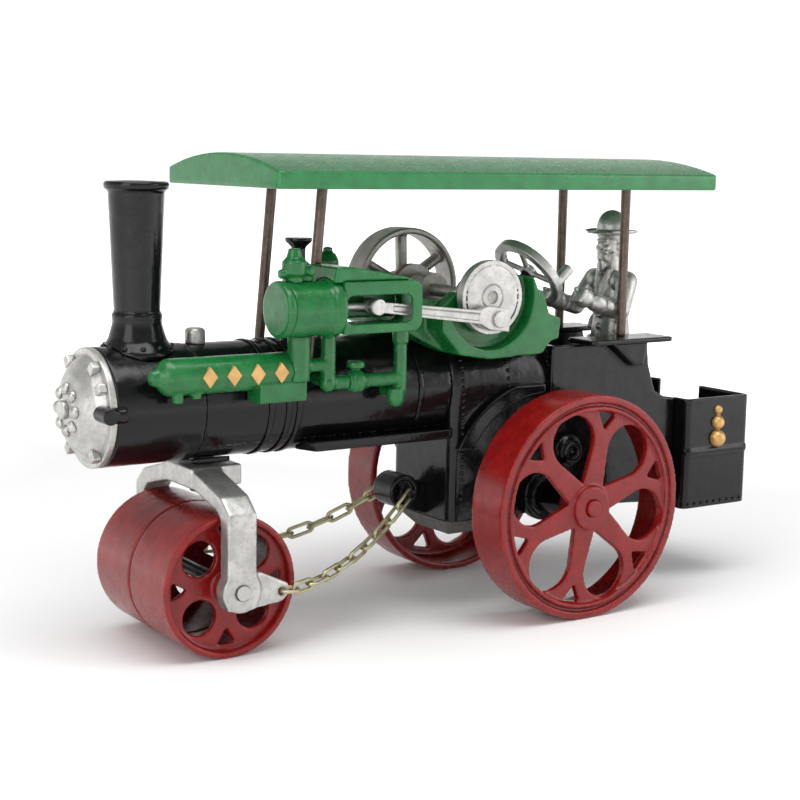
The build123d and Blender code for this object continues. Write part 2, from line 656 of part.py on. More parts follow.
with BuildPart() as fork:
    with BuildSketch(Plane.YZ.offset(ROLLER_X - 4.4)) as arch:
        with BuildLine():
            Polyline(
                (-FORK_ARM_OUT, ROLLER_R - 5.0),
                (-FORK_ARM_OUT, FORK_TOP_Z - 5.0),
                (-FORK_ARM_OUT + 5.0, FORK_TOP_Z - 0.6),
                (-8.0, 50.4),
                (8.0, 50.4),
                (FORK_ARM_OUT - 5.0, FORK_TOP_Z - 0.6),
                (FORK_ARM_OUT, FORK_TOP_Z - 5.0),
                (FORK_ARM_OUT, ROLLER_R - 5.0),
                (FORK_ARM_IN, ROLLER_R - 5.0),
                (FORK_ARM_IN, FORK_TOP_Z - 7.0),
                (FORK_ARM_IN - 2.0, FORK_TOP_Z - 5.0),
                (7.0, 45.0),
                (-7.0, 45.0),
                (-FORK_ARM_IN + 2.0, FORK_TOP_Z - 5.0),
                (-FORK_ARM_IN, FORK_TOP_Z - 7.0),
                (-FORK_ARM_IN, ROLLER_R - 5.0),
                close=True,
            )
        make_face()
    extrude(amount=8.8)
    block(PIVOT_X - 8.0, PIVOT_X + 8.0, -8.0, 8.0, 45.0, 51.0)
    for side in (-1, 1):
        rod_y(ROLLER_X, side * FORK_ARM_IN, side * FORK_ARM_OUT, ROLLER_R, 5.8)
        side_plate([
            (ROLLER_X, ROLLER_R + 5.6),
            (ROLLER_X + 6.0, ROLLER_R + 5.0),
            (LUG_X + 2.0, LUG_Z + 2.2),
            (LUG_X + 2.6, LUG_Z - 0.8),
            (LUG_X + 0.2, LUG_Z - 2.9),
            (ROLLER_X, ROLLER_R - 5.6),
        ], *sorted((side * (LUG_Y - 0.8), side * (LUG_Y + 0.8))))
        rod_y(LUG_X, side * 20, side * 40, LUG_Z, 1.1, Mode.SUBTRACT)
        rod_y(ROLLER_X, side * 20, side * 40, ROLLER_R, ROLLER_AXLE_R, Mode.SUBTRACT)
    rod_z(PIVOT_X, 0, 40.0, 60.0, PIVOT_PIN_R + FIT_GAP, Mode.SUBTRACT)
    rod_z(PIVOT_X, 0, 40.0, 45.0, PIVOT_PIN_R + 1.6, Mode.SUBTRACT)
save(fork, "fork")

AXLE_STUB_Y = 29.9

with BuildPart() as roller_axle:
    rod_y(ROLLER_X, -AXLE_STUB_Y, AXLE_STUB_Y, ROLLER_R, ROLLER_AXLE_R)
save(roller_axle, "roller_axle")

ROLLER_GAP = 0.6


def drum(side):
    """One half of the front roller: a hollow drum closed by its outer disc."""
    inner = side * ROLLER_GAP / 2
    outer = side * ROLLER_HALF
    web = side * (ROLLER_HALF - 2.6)
    rod_y(ROLLER_X, inner, outer, ROLLER_R, ROLLER_R)
    rod_y(ROLLER_X, inner, web - side * 2.0, ROLLER_R, ROLLER_R - ROLLER_WALL, Mode.SUBTRACT)
    rod_y(ROLLER_X, web, outer, ROLLER_R, ROLLER_R - ROLLER_WALL, Mode.SUBTRACT)
    rod_y(ROLLER_X, side * (ROLLER_HALF - 5.4), side * (ROLLER_HALF + 1.0), ROLLER_R, 4.4)
    for quarter in range(4):
        turn = radians(45 + 90 * quarter)
        rod_y(ROLLER_X + 11.6 * cos(turn), inner, outer, ROLLER_R + 11.6 * sin(turn), 5.0, Mode.SUBTRACT)
        turn = radians(90 * quarter)
        across = turn + pi / 2
        corners = []
        for reach, shift in ((16.6, 2.7), (16.6, -2.7), (11.8, 0)):
            corners.append((
                ROLLER_X + reach * cos(turn) + shift * cos(across),
                ROLLER_R + reach * sin(turn) + shift * sin(across),
            ))
        side_plate(corners, min(inner, outer), max(inner, outer), Mode.SUBTRACT)
    rod_y(ROLLER_X, side * 0.1, side * 30.0, ROLLER_R, ROLLER_AXLE_R + FIT_GAP, Mode.SUBTRACT)


with BuildPart() as roller_near:
    drum(-1)
save(roller_near, "roller_near")

with BuildPart() as roller_far:
    drum(1)
save(roller_far, "roller_far")

# ---- rear wheels and axle --------------------------------------------------

PETALS = 6
PETAL_R = 7.9
PETAL_AT = 21.4
PETAL_TIP = 7.6


def rear_wheel(side):
    """A dished wheel: deep rim, pierced disc, raised lip and boss."""
    outer = side * WHEEL_OUT_Y
    inner = side * (WHEEL_OUT_Y - WHEEL_WIDTH)
    disc_out = outer - side * 1.2
    disc_in = disc_out - side * 2.4
    rod_y(AXLE_X, inner, outer, WHEEL_R, WHEEL_R)
    rod_y(AXLE_X, inner, disc_in, WHEEL_R, WHEEL_R - WHEEL_WALL, Mode.SUBTRACT)
    rod_y(AXLE_X, disc_out, outer, WHEEL_R, WHEEL_R - WHEEL_WALL, Mode.SUBTRACT)
    rod_y(AXLE_X, disc_in, outer, WHEEL_R, WHEEL_R - 3.4)
    rod_y(AXLE_X, disc_out, outer, WHEEL_R, WHEEL_R - 4.6, Mode.SUBTRACT)
    rod_y(AXLE_X, outer - side * 8.0, outer + side * 0.6, WHEEL_R, 6.6)
    tangent = asin(PETAL_R / (PETAL_AT - PETAL_TIP))
    foot = (PETAL_AT - PETAL_TIP) * cos(tangent)
    for petal in range(PETALS):
        turn = radians(60 * petal - 12)
        ahead = (cos(turn), sin(turn))
        across = (-sin(turn), cos(turn))
        rod_y(AXLE_X + PETAL_AT * ahead[0], inner, outer, WHEEL_R + PETAL_AT * ahead[1], PETAL_R, Mode.SUBTRACT)
        corners = []
        for reach, shift in (
            (PETAL_TIP, 0),
            (PETAL_TIP + foot * cos(tangent), foot * sin(tangent)),
            (PETAL_TIP + foot * cos(tangent), -foot * sin(tangent)),
        ):
            corners.append((
                AXLE_X + reach * ahead[0] + shift * across[0],
                WHEEL_R + reach * ahead[1] + shift * across[1],
            ))
        side_plate(corners, min(inner, outer), max(inner, outer), Mode.SUBTRACT)
        turn = radians(60 * petal + 18)
        ahead = (cos(turn), sin(turn))
        across = (-sin(turn), cos(turn))
        corners = []
        for reach, shift in ((28.8, 3.5), (28.8, -3.5), (23.6, 0)):
            corners.append((
                AXLE_X + reach * ahead[0] + shift * across[0],
                WHEEL_R + reach * ahead[1] + shift * across[1],
            ))
        side_plate(corners, min(inner, outer), max(inner, outer), Mode.SUBTRACT)
    rod_y(AXLE_X, inner - side, outer + side, WHEEL_R, AXLE_R, Mode.SUBTRACT)


with BuildPart() as rear_wheel_near:
    rear_wheel(-1)
save(rear_wheel_near, "rear_wheel_near")

with BuildPart() as rear_wheel_far:
    rear_wheel(1)
save(rear_wheel_far, "rear_wheel_far")

with BuildPart() as rear_axle:
    rod_y(AXLE_X, -AXLE_END_Y, AXLE_END_Y, WHEEL_R, AXLE_R)
    fillet(rear_axle.edges().filter_by(GeomType.CIRCLE), 0.6)
save(rear_axle, "rear_axle")

with BuildPart() as axle_housings:
    rod_y(AXLE_X, -FIREBOX_HALF + 4.0, -33.6, WHEEL_R, 5.0)
    rod_y(AXLE_X, -FIREBOX_HALF, -20.0, WHEEL_R, 8.0)
    rod_y(AXLE_X, FIREBOX_FAR - 4.0, FIREBOX_FAR, WHEEL_R, 5.0)
    rod_y(AXLE_X, -40, 30, WHEEL_R, AXLE_R + FIT_GAP, Mode.SUBTRACT)
save(axle_housings, "axle_housings")


# ---- crankshaft, flywheel, pulleys and belt --------------------------------

PIN_ANGLE = radians(-93.0)
PIN_X = CRANK_X + CRANK_THROW * cos(PIN_ANGLE)
PIN_Z = CRANK_Z + CRANK_THROW * sin(PIN_ANGLE)
CROSS_X = PIN_X - sqrt(ROD_LENGTH ** 2 - (ENGINE_Z - PIN_Z) ** 2)
DISC_BACK_Y = DISC_FRONT_Y + DISC_THICK

with BuildPart() as crankshaft:
    rod_y(CRANK_X, DISC_FRONT_Y + 0.6, FLYWHEEL_Y + FLYWHEEL_WIDTH, CRANK_Z, SHAFT_R)
save(crankshaft, "crankshaft")


def half_ring_sector(start, stop, inner_r, outer_r):
    """Corner points of a sector of the crank disc, with its arcs in short steps."""
    steps = 10
    outer = [start + (stop - start) * step / steps for step in range(steps + 1)]
    points = [(CRANK_X + outer_r * cos(a), CRANK_Z + outer_r * sin(a)) for a in outer]
    points += [(CRANK_X + inner_r * cos(a), CRANK_Z + inner_r * sin(a)) for a in reversed(outer)]
    return points


with BuildPart() as crank_disc:
    rod_y(CRANK_X, DISC_FRONT_Y, DISC_BACK_Y, CRANK_Z, DISC_R)
    for start, stop in ((-48, 16), (164, 228)):
        side_plate(half_ring_sector(radians(start), radians(stop), 4.0, 9.6),
                   DISC_FRONT_Y - 0.1, DISC_FRONT_Y + 1.2, Mode.SUBTRACT)
    for inner_r, outer_r in ((9.2, 9.6), (3.4, 4.0)):
        rod_y(CRANK_X, DISC_FRONT_Y, DISC_FRONT_Y + 0.3, CRANK_Z, outer_r, Mode.SUBTRACT)
        rod_y(CRANK_X, DISC_FRONT_Y, DISC_FRONT_Y + 0.3, CRANK_Z, inner_r)
    rod_y(CRANK_X, -40, 0, CRANK_Z, SHAFT_R, Mode.SUBTRACT)
save(crank_disc, "crank_disc")

FLY_SPOKES = 6

with BuildPart() as flywheel:
    rod_y(CRANK_X, FLYWHEEL_Y, FLYWHEEL_Y + FLYWHEEL_WIDTH, CRANK_Z, FLYWHEEL_R)
    rod_y(CRANK_X, FLYWHEEL_Y, FLYWHEEL_Y + FLYWHEEL_WIDTH, CRANK_Z, FLYWHEEL_R - 2.0, Mode.SUBTRACT)
    rod_y(CRANK_X, FLYWHEEL_Y + 1.0, FLYWHEEL_Y + FLYWHEEL_WIDTH, CRANK_Z, 4.4)
    for spoke in range(FLY_SPOKES):
        turn = radians(360 * spoke / FLY_SPOKES + 32)
        with BuildSketch(Plane(origin=(CRANK_X, FLYWHEEL_Y + 4.6, CRANK_Z),
                               x_dir=(0, 1, 0), z_dir=(cos(turn), 0, sin(turn)))):
            Ellipse(2.2, 1.7)
        extrude(amount=FLYWHEEL_R - 1.0)
    rod_y(CRANK_X, 0, 40, CRANK_Z, SHAFT_R, Mode.SUBTRACT)
save(flywheel, "flywheel")


def grooved_pulley(x, z, groove_r):
    """A pulley turned about Y with flanges each side of the belt."""
    half = BELT_WIDTH / 2 + 0.2
    flange = half + 0.4
    turned_y(x, z, [
        (BELT_Y - flange, 0),
        (BELT_Y - flange, groove_r + 1.2),
        (BELT_Y - half, groove_r + 1.2),
        (BELT_Y - half, groove_r),
        (BELT_Y + half, groove_r),
        (BELT_Y + half, groove_r + 1.2),
        (BELT_Y + flange, groove_r + 1.2),
        (BELT_Y + flange, 0),
    ])


with BuildPart() as crank_pulley:
    grooved_pulley(CRANK_X, CRANK_Z, CRANK_PULLEY_R)
    rod_y(CRANK_X, 0, 40, CRANK_Z, SHAFT_R, Mode.SUBTRACT)
save(crank_pulley, "crank_pulley")

PULLEY_WINDOWS = 6

with BuildPart() as axle_pulley:
    grooved_pulley(AXLE_X, WHEEL_R, AXLE_PULLEY_R)
    rod_y(AXLE_X, BELT_Y + 0.6, BELT_Y + 3, WHEEL_R, AXLE_PULLEY_R - 2.4, Mode.SUBTRACT)
    rod_y(AXLE_X, BELT_Y, 33.6, WHEEL_R, 5.0)
    for window in range(PULLEY_WINDOWS):
        turn = 2 * pi * window / PULLEY_WINDOWS
        rod_y(AXLE_X + 8.6 * cos(turn), 0, 40, WHEEL_R + 8.6 * sin(turn), 2.5, Mode.SUBTRACT)
    rod_y(AXLE_X, 0, 40, WHEEL_R, AXLE_R, Mode.SUBTRACT)
save(axle_pulley, "axle_pulley")


def belt_outline(offset):
    """Corner points round the belt: tight behind, bowed out in front."""
    crank = complex(CRANK_X, CRANK_Z)
    axle = complex(AXLE_X, WHEEL_R)
    crank_r = CRANK_PULLEY_R + BELT_GAP + BELT_THICK / 2
    axle_r = AXLE_PULLEY_R + BELT_GAP + BELT_THICK / 2
    apart = abs(axle - crank)
    onward = (axle - crank) / apart
    reach = BELT_BOW_R - crank_r
    along = (reach ** 2 - (BELT_BOW_R - axle_r) ** 2 + apart ** 2) / (2 * apart)
    bow = crank + onward * complex(along, sqrt(reach ** 2 - along ** 2))
    tight = phase(onward) + acos((crank_r - axle_r) / apart)
    leave = phase(crank - bow) % (2 * pi)
    meet = phase(axle - bow) % (2 * pi)
    points = []
    for centre, radius, start, stop in (
        (crank, crank_r, tight, leave),
        (bow, BELT_BOW_R, leave, meet),
        (axle, axle_r, meet, tight + 2 * pi),
    ):
        for step in range(BELT_STEPS + 1):
            turn = start + (stop - start) * step / BELT_STEPS
            points.append((
                centre.real + (radius + offset) * cos(turn),
                centre.imag + (radius + offset) * sin(turn),
            ))
    return points


BELT_STEPS = 24

with BuildPart() as drive_belt:
    side_plate(belt_outline(BELT_THICK / 2), BELT_Y - BELT_WIDTH / 2, BELT_Y + BELT_WIDTH / 2)
    side_plate(belt_outline(-BELT_THICK / 2), BELT_Y - BELT_WIDTH, BELT_Y + BELT_WIDTH, Mode.SUBTRACT)
save(drive_belt, "drive_belt")

# ---- crosshead and connecting rod -----------------------------------------

ROD_HALF = 1.3
ROD_ANGLE = degrees(atan2(PIN_Z - ENGINE_Z, PIN_X - CROSS_X))

with BuildPart() as crosshead:
    rod_y(CROSS_X, ROD_Y - 1.9, ROD_Y - 1.5, ENGINE_Z, 2.3)
    rod_y(CROSS_X, ROD_Y - 1.9, ENGINE_Y + 1.4, ENGINE_Z, 1.25)
    rod_y(CROSS_X, ROD_Y + ROD_HALF + CLEAR, ENGINE_Y + 1.4, ENGINE_Z, 2.3)
    rod_x(CROSS_X - 21.0, CROSS_X, ENGINE_Y, ENGINE_Z, PISTON_ROD_R)
save(crosshead, "crosshead")


def along_rod(distance, rise):
    """A point in the rod's own frame, from the small end towards the crank."""
    turn = radians(ROD_ANGLE)
    return (
        CROSS_X + distance * cos(turn) - rise * sin(turn),
        ENGINE_Z + distance * sin(turn) + rise * cos(turn),
    )


with BuildPart() as connecting_rod:
    side_plate([
        along_rod(0.0, 1.5),
        along_rod(ROD_LENGTH - 7.4, 2.0),
        along_rod(ROD_LENGTH - 4.4, 3.4),
        along_rod(ROD_LENGTH + 3.0, 3.4),
        along_rod(ROD_LENGTH + 4.0, 2.4),
        along_rod(ROD_LENGTH + 4.0, -3.4),
        along_rod(ROD_LENGTH - 3.0, -3.4),
        along_rod(ROD_LENGTH - 6.4, -2.0),
        along_rod(0.0, -1.5),
    ], ROD_Y - ROD_HALF, ROD_Y + ROD_HALF)
    rod_y(CROSS_X, ROD_Y - ROD_HALF, ROD_Y + ROD_HALF, ENGINE_Z, 2.3)
    rod_y(CROSS_X, -40, -10, ENGINE_Z, 1.25 + FIT_GAP, Mode.SUBTRACT)
    side_plate([
        along_rod(5.0, 0.8),
        along_rod(ROD_LENGTH - 7.0, 1.1),
        along_rod(ROD_LENGTH - 7.0, -1.1),
        along_rod(5.0, -0.8),
    ], ROD_Y - ROD_HALF - 0.1, ROD_Y - ROD_HALF + 0.5, Mode.SUBTRACT)
    rod_y(PIN_X, -40, -10, PIN_Z, 1.9, Mode.SUBTRACT)
save(connecting_rod, "connecting_rod")

with BuildPart() as crank_pin:
    rod_y(PIN_X, ROD_Y - ROD_HALF - 0.9, DISC_FRONT_Y - CLEAR, PIN_Z, 1.9)
    rod_y(PIN_X, ROD_Y - ROD_HALF - 0.9, ROD_Y - ROD_HALF, PIN_Z, 2.5)
save(crank_pin, "crank_pin")

# ---- canopy and hoops ------------------------------------------------------

CANOPY_SKIN = 1.8
CANOPY_LIP = 1.8


def roof_arch(half, low, edge, crown):
    """The roof's cross-section: flat foot, upright sides and an arched top."""
    with BuildSketch(Plane.YZ.offset(CANOPY_FRONT)) as outline:
        with BuildLine():
            Line((-half, low), (half, low))
            Line((half, low), (half, edge))
            ThreePointArc((half, edge), (0, crown), (-half, edge))
            Line((-half, edge), (-half, low))
        make_face()
    return outline.sketch


with BuildPart() as canopy:
    extrude(roof_arch(CANOPY_HALF, CANOPY_LOW, CANOPY_EDGE, CANOPY_TOP), amount=CANOPY_BACK - CANOPY_FRONT)
    fillet(canopy.edges().filter_by(Axis.Z), 1.5)
    with BuildSketch(Plane.YZ.offset(CANOPY_FRONT + CANOPY_LIP)) as hollow:
        with BuildLine():
            Line((-CANOPY_HALF + CANOPY_LIP, CANOPY_LOW - 1), (CANOPY_HALF - CANOPY_LIP, CANOPY_LOW - 1))
            Line((CANOPY_HALF - CANOPY_LIP, CANOPY_LOW - 1),
                 (CANOPY_HALF - CANOPY_LIP, CANOPY_EDGE - CANOPY_SKIN))
            ThreePointArc((CANOPY_HALF - CANOPY_LIP, CANOPY_EDGE - CANOPY_SKIN),
                          (0, CANOPY_TOP - CANOPY_SKIN),
                          (-CANOPY_HALF + CANOPY_LIP, CANOPY_EDGE - CANOPY_SKIN))
            Line((-CANOPY_HALF + CANOPY_LIP, CANOPY_EDGE - CANOPY_SKIN),
                 (-CANOPY_HALF + CANOPY_LIP, CANOPY_LOW - 1))
        make_face()
    extrude(amount=CANOPY_BACK - CANOPY_FRONT - 2 * CANOPY_LIP, mode=Mode.SUBTRACT)
    for rib_x in (FRONT_HOOP_X, REAR_HOOP_X):
        block(rib_x - 2.6, rib_x + 2.6, -9.4, 9.4, HOOP_TOP_Z, CANOPY_TOP - 1.4)
        rod_y(rib_x, -9.6, 9.6, HOOP_TOP_Z, HOOP_R, Mode.SUBTRACT)
save(canopy, "canopy")



def hoop(foot_x, top_x, half, foot_z):
    """A round rod bent into an upside-down U, leaning along X."""
    rise = HOOP_TOP_Z - foot_z
    lean = (top_x - foot_x) / rise
    frame = Plane(origin=(foot_x, 0, foot_z), x_dir=(0, 1, 0), z_dir=(1, 0, -lean))
    reach = rise * sqrt(1 + lean ** 2)
    with BuildLine(frame) as route:
        FilletPolyline((-half, 0), (-half, reach), (half, reach), (half, 0), radius=5.0)
    with BuildSketch(Plane(origin=route.line @ 0, z_dir=route.line % 0)) as section:
        Circle(HOOP_R)
    sweep(section.sketch, path=route.line)


with BuildPart() as front_hoop:
    hoop(FRONT_HOOP_X - FRONT_HOOP_LEAN, FRONT_HOOP_X, FRONT_HOOP_HALF, 76.0)
    rod_x(SMOKEBOX_BACK, BARREL_BACK, 0, BOILER_Z, BOILER_R, Mode.SUBTRACT)
    add(steam_pipes.part, mode=Mode.SUBTRACT)
    add(valve_chest.part, mode=Mode.SUBTRACT)
save(front_hoop, "front_hoop")

with BuildPart() as rear_hoop:
    hoop(REAR_HOOP_X, REAR_HOOP_X, REAR_HOOP_HALF, SEAT_TOP)
save(rear_hoop, "rear_hoop")

# ---- cab: side sheets, seats, footplate ------------------------------------

CAB_FRONT = FIREBOX_BACK
FLOOR_Z = 40.0

with BuildPart() as cab_sides:
    for outer, inner in ((-CAB_HALF, -CAB_HALF + SHEET), (CAB_FAR, CAB_FAR - SHEET)):
        side_plate([
            (CAB_FRONT, 80.0),
            (52.0, SEAT_TOP - 1.6),
            (75.0, SEAT_TOP - 1.6),
            (76.0, 72.0),
            (79.0, 63.4),
            (83.0, 61.4),
            (TENDER_FRONT, TENDER_TOP),
            (TENDER_FRONT, TENDER_LOW + 2.0),
            (46.0, 29.0),
            (CAB_FRONT, 29.0),
        ], min(outer, inner), max(outer, inner))
        bracket = outer + (3.6 if outer > 0 else -3.6)
        side_plate([
            (57.0, SEAT_TOP - 1.6),
            (72.0, SEAT_TOP - 1.6),
            (70.6, 72.6),
            (66.6, 72.6),
        ], min(outer, bracket), max(outer, bracket))
    rod_y(AXLE_X, -30, 30, WHEEL_R, 8.0, Mode.SUBTRACT)
save(cab_sides, "cab_sides")

SEAT_FRONT = 47.0
SEAT_BACK = 80.6

with BuildPart() as cab_seats:
    for side in (-1, 1):
        block(SEAT_FRONT, SEAT_BACK, side * 11.6, side * 24.6, SEAT_TOP - 1.6, SEAT_TOP)
    fillet(cab_seats.edges().filter_by(Axis.Z), 1.6)
save(cab_seats, "cab_seats")

with BuildPart() as cab_floor:
    block(CAB_FRONT, TENDER_FRONT + 2.0, -CAB_HALF + SHEET, CAB_FAR - SHEET, FLOOR_Z, FLOOR_Z + 2.0)
    block(CAB_FRONT, CAB_FRONT + 2.0, -CAB_HALF + SHEET, CAB_FAR - SHEET, FLOOR_Z, 80.0)
    rod_y(AXLE_X, -CAB_HALF, -FIREBOX_HALF, WHEEL_R, 8.0, Mode.SUBTRACT)
save(cab_floor, "cab_floor")

# ---- tender -----------------------------------------------------------------

TENDER_WALL = 1.6
DOORWAY_NEAR = -1.0
DOORWAY_FAR = 19.0
BAND_Z = 42.0

with BuildPart() as tender:
    with BuildSketch(Plane.XY.offset(TENDER_LOW)):
        with Locations(((TENDER_FRONT + TENDER_BACK) / 2, 0)):
            RectangleRounded(TENDER_BACK - TENDER_FRONT, 2 * TENDER_HALF, 2.2)
    extrude(amount=TENDER_TOP - TENDER_LOW)
    with BuildSketch(Plane.XY.offset(BAND_Z)):
        with Locations(((TENDER_FRONT + TENDER_BACK) / 2, 0)):
            RectangleRounded(TENDER_BACK - TENDER_FRONT, 2 * TENDER_HALF + 1.2, 2.2)
    extrude(amount=1.6)
    block(TENDER_FRONT + TENDER_WALL, TENDER_BACK - TENDER_WALL,
          -TENDER_HALF + TENDER_WALL, TENDER_HALF - TENDER_WALL,
          TENDER_LOW + 2.0, TENDER_TOP + 1, Mode.SUBTRACT)
    block(TENDER_FRONT - 1, TENDER_FRONT + 2, -CAB_HALF + SHEET, CAB_FAR - SHEET,
          FLOOR_Z, TENDER_TOP + 1, Mode.SUBTRACT)
    block(TENDER_BACK - 2, TENDER_BACK + 1, DOORWAY_NEAR, DOORWAY_FAR, 42.0, TENDER_TOP + 1, Mode.SUBTRACT)
save(tender, "tender")



# Rivets on the chimney foot, the firebox and the tender, as one group.
RIVET_R = 0.65
BOLT_COUNT = 12
FAR_RIVETS_FROM = 45.0
RIVET_COLUMNS = ((4.0, 31.0, 80.0, 2.0), (21.0, 66.0, 79.0, 2.4))
TENDER_RIVETS = 9

with BuildPart() as rivets:
    for bolt in range(BOLT_COUNT):
        turn = 2 * pi * (bolt + 0.5) / BOLT_COUNT
        ball(CHIMNEY_X + 9.3 * cos(turn), 9.3 * sin(turn), 84.7, 0.8)
    turned_z(CHIMNEY_X, 0, CHIMNEY_FOOT, Mode.SUBTRACT)
    rod_x(SMOKEBOX_FRONT, SMOKEBOX_BACK, 0, BOILER_Z, SMOKEBOX_R, Mode.SUBTRACT)
    for column_x, low, high, pitch in RIVET_COLUMNS:
        for step in range(int((high - low) / pitch) + 1):
            rivet_z = low + pitch * step
            surface = sqrt(FIREBOX_HALF ** 2 - max(0.0, rivet_z - BOILER_Z) ** 2)
            ball(column_x, -surface, rivet_z, RIVET_R)
            if rivet_z > FAR_RIVETS_FROM and surface > FIREBOX_FAR:
                ball(column_x, FIREBOX_FAR, rivet_z, RIVET_R)
    for side in (-1, 1):
        for rivet in range(TENDER_RIVETS):
            ball(TENDER_FRONT + 2.6 + rivet * 2.9, side * TENDER_HALF, TENDER_LOW + 1.6, RIVET_R)
    block(FIREBOX_FRONT, FIREBOX_BACK, -FIREBOX_HALF, FIREBOX_FAR, FIREBOX_BOTTOM, BOILER_Z, Mode.SUBTRACT)
    rod_x(FIREBOX_FRONT, FIREBOX_BACK, 0, BOILER_Z, FIREBOX_HALF, Mode.SUBTRACT)
    block(TENDER_FRONT - 2, TENDER_BACK + 2, -TENDER_HALF, TENDER_HALF,
          TENDER_LOW - 1, TENDER_LOW + 5, Mode.SUBTRACT)
    add(gear_guards.part, mode=Mode.SUBTRACT)
save(rivets, "rivets")

# Gold trim: four raised lozenges on the heater and a plain boss on the tender.
BOSS_X = 102.0

with BuildPart() as gold_trim:
    for lozenge in range(LOZENGE_COUNT):
        mid = LOZENGE_FIRST + LOZENGE_PITCH * lozenge
        side_plate([
            (mid - 2.2, HEATER_Z),
            (mid, HEATER_Z + 2.8),
            (mid + 2.2, HEATER_Z),
            (mid, HEATER_Z - 2.8),
        ], LOZENGE_FACE, HEATER_Y - 2.0)
    rod_x(HEATER_FRONT, HEATER_BACK, HEATER_Y, HEATER_Z, HEATER_R, Mode.SUBTRACT)
    for boss_z, boss_r in ((46.9, 2.9), (52.2, 2.3), (56.4, 1.5)):
        ball(BOSS_X, -TENDER_HALF, boss_z, boss_r)
    for z_low, z_high in ((46.0, 51.0), (51.0, 55.5)):
        rod_z(BOSS_X, -TENDER_HALF, z_low, z_high, 0.9)
    block(80, 120, -TENDER_HALF, 0, 30, 70, Mode.SUBTRACT)
save(gold_trim, "gold_trim")

# ---- steering wheel and column ----------------------------------------------

STEER_SPOKES = 4
KNOB_ANGLE = 200.0
KNOB_TURN = radians(KNOB_ANGLE)
KNOB_FOOT = (STEER_PLANE.origin
             + (STEER_PLANE.x_dir * cos(KNOB_TURN) + STEER_PLANE.y_dir * sin(KNOB_TURN)) * STEER_R)

with BuildPart() as steering_wheel:
    bar(on_column(-STEER_RIM), on_column(STEER_RIM), STEER_R + STEER_RIM)
    bar(on_column(-STEER_RIM - 1), on_column(STEER_RIM + 1), STEER_R - STEER_RIM, Mode.SUBTRACT)
    bar(on_column(-1.4), on_column(1.4), 2.6)
    for spoke in range(STEER_SPOKES):
        turn = radians(360 * spoke / STEER_SPOKES + 20)
        reach = STEER_PLANE.x_dir * cos(turn) + STEER_PLANE.y_dir * sin(turn)
        bar(STEER_PLANE.origin, STEER_PLANE.origin + reach * (STEER_R - 0.2), 0.9)
    bar(KNOB_FOOT, KNOB_FOOT + STEER_PLANE.z_dir * 7.0, 1.8)
    bar(on_column(-3), on_column(0), 1.5 + FIT_GAP, Mode.SUBTRACT)
save(steering_wheel, "steering_wheel")


with BuildPart() as steering_column:
    bar(on_column(-SOCKET_DEEP), on_column(-0.4), 1.5)
    bar(on_column(-SOCKET_DEEP), on_column(-4.4), 2.6)
    rod_x(-30, 60, 0, BOILER_Z, FIREBOX_HALF, Mode.SUBTRACT)
save(steering_column, "steering_column")

# ---- steering chain spool ----------------------------------------------------

SPOOL_X = -8.6
SPOOL_Z = 36.4
SPOOL_HALF = 5.0
SPOOL_R = 5.2

with BuildPart() as chain_spool:
    rod_y(SPOOL_X, -SPOOL_HALF, SPOOL_HALF, SPOOL_Z, SPOOL_R)
    rod_y(SPOOL_X, -SPOOL_HALF, -SPOOL_HALF + 1.4, SPOOL_Z, SPOOL_R - 1.6, Mode.SUBTRACT)
    rod_y(SPOOL_X, SPOOL_HALF - 1.4, SPOOL_HALF, SPOOL_Z, SPOOL_R - 1.6, Mode.SUBTRACT)
    rod_y(SPOOL_X, -SPOOL_HALF - 3.8, SPOOL_HALF + 3.8, SPOOL_Z, 0.5)
    for side in (-1, 1):
        rod_y(SPOOL_X, side * (SPOOL_HALF + 3.5), side * (SPOOL_HALF + 4.3), SPOOL_Z, 1.5)
    side_plate([
        (SPOOL_X + 2.0, SPOOL_Z + 3.4),
        (FIREBOX_FRONT, SPOOL_Z + 1.0),
        (FIREBOX_FRONT, FIREBOX_BOTTOM + 0.6),
        (SPOOL_X + 2.0, FIREBOX_BOTTOM + 2.6),
    ], -SPOOL_HALF + 1.4, SPOOL_HALF - 1.4)
save(chain_spool, "chain_spool")

# ---- steering chains -----------------------------------------------------------

WIRE_R = 0.55
CHAIN_LINKS = 9
CHAIN_SAG = 5.0
LINK_WIDTH = 3.9
LINK_PLAY = 0.25
RING_R = 2.6
RING_X = LUG_X + RING_R
RING_BACK = RING_X + RING_R
PEG_Y = SPOOL_HALF + 1.9


def link_wire(length, width):
    """One oval wire link lying in the XY plane, centred on the origin."""
    turn_r = (width - 2 * WIRE_R) / 2
    half = (length - 2 * WIRE_R) / 2 - turn_r
    with BuildPart() as link:
        with BuildLine() as route:
            Line((-half, turn_r), (half, turn_r))
            ThreePointArc((half, turn_r), (half + turn_r, 0), (half, -turn_r))
            Line((half, -turn_r), (-half, -turn_r))
            ThreePointArc((-half, -turn_r), (-half - turn_r, 0), (-half, turn_r))
        with BuildSketch(Plane(origin=(0, turn_r, 0), z_dir=(1, 0, 0))) as wire:
            Circle(WIRE_R)
        sweep(wire.sketch, path=route.line)
    return link.part


def hanging_points(start, end, sag, spans):
    """Points at equal distances along a hanging chain, ends included."""
    fine = 60 * spans
    curve = []
    for step in range(fine + 1):
        share = step / fine
        drop = 4 * sag * share * (1 - share)
        curve.append(start + (end - start) * share - Vector(0, 0, drop))
    lengths = [(curve[i + 1] - curve[i]).length for i in range(fine)]
    pitch = sum(lengths) / spans
    points = [start]
    run = 0.0
    for i in range(fine):
        run += lengths[i]
        if run >= pitch * len(points) - 1e-6:
            points.append(curve[i + 1])
    return points, pitch


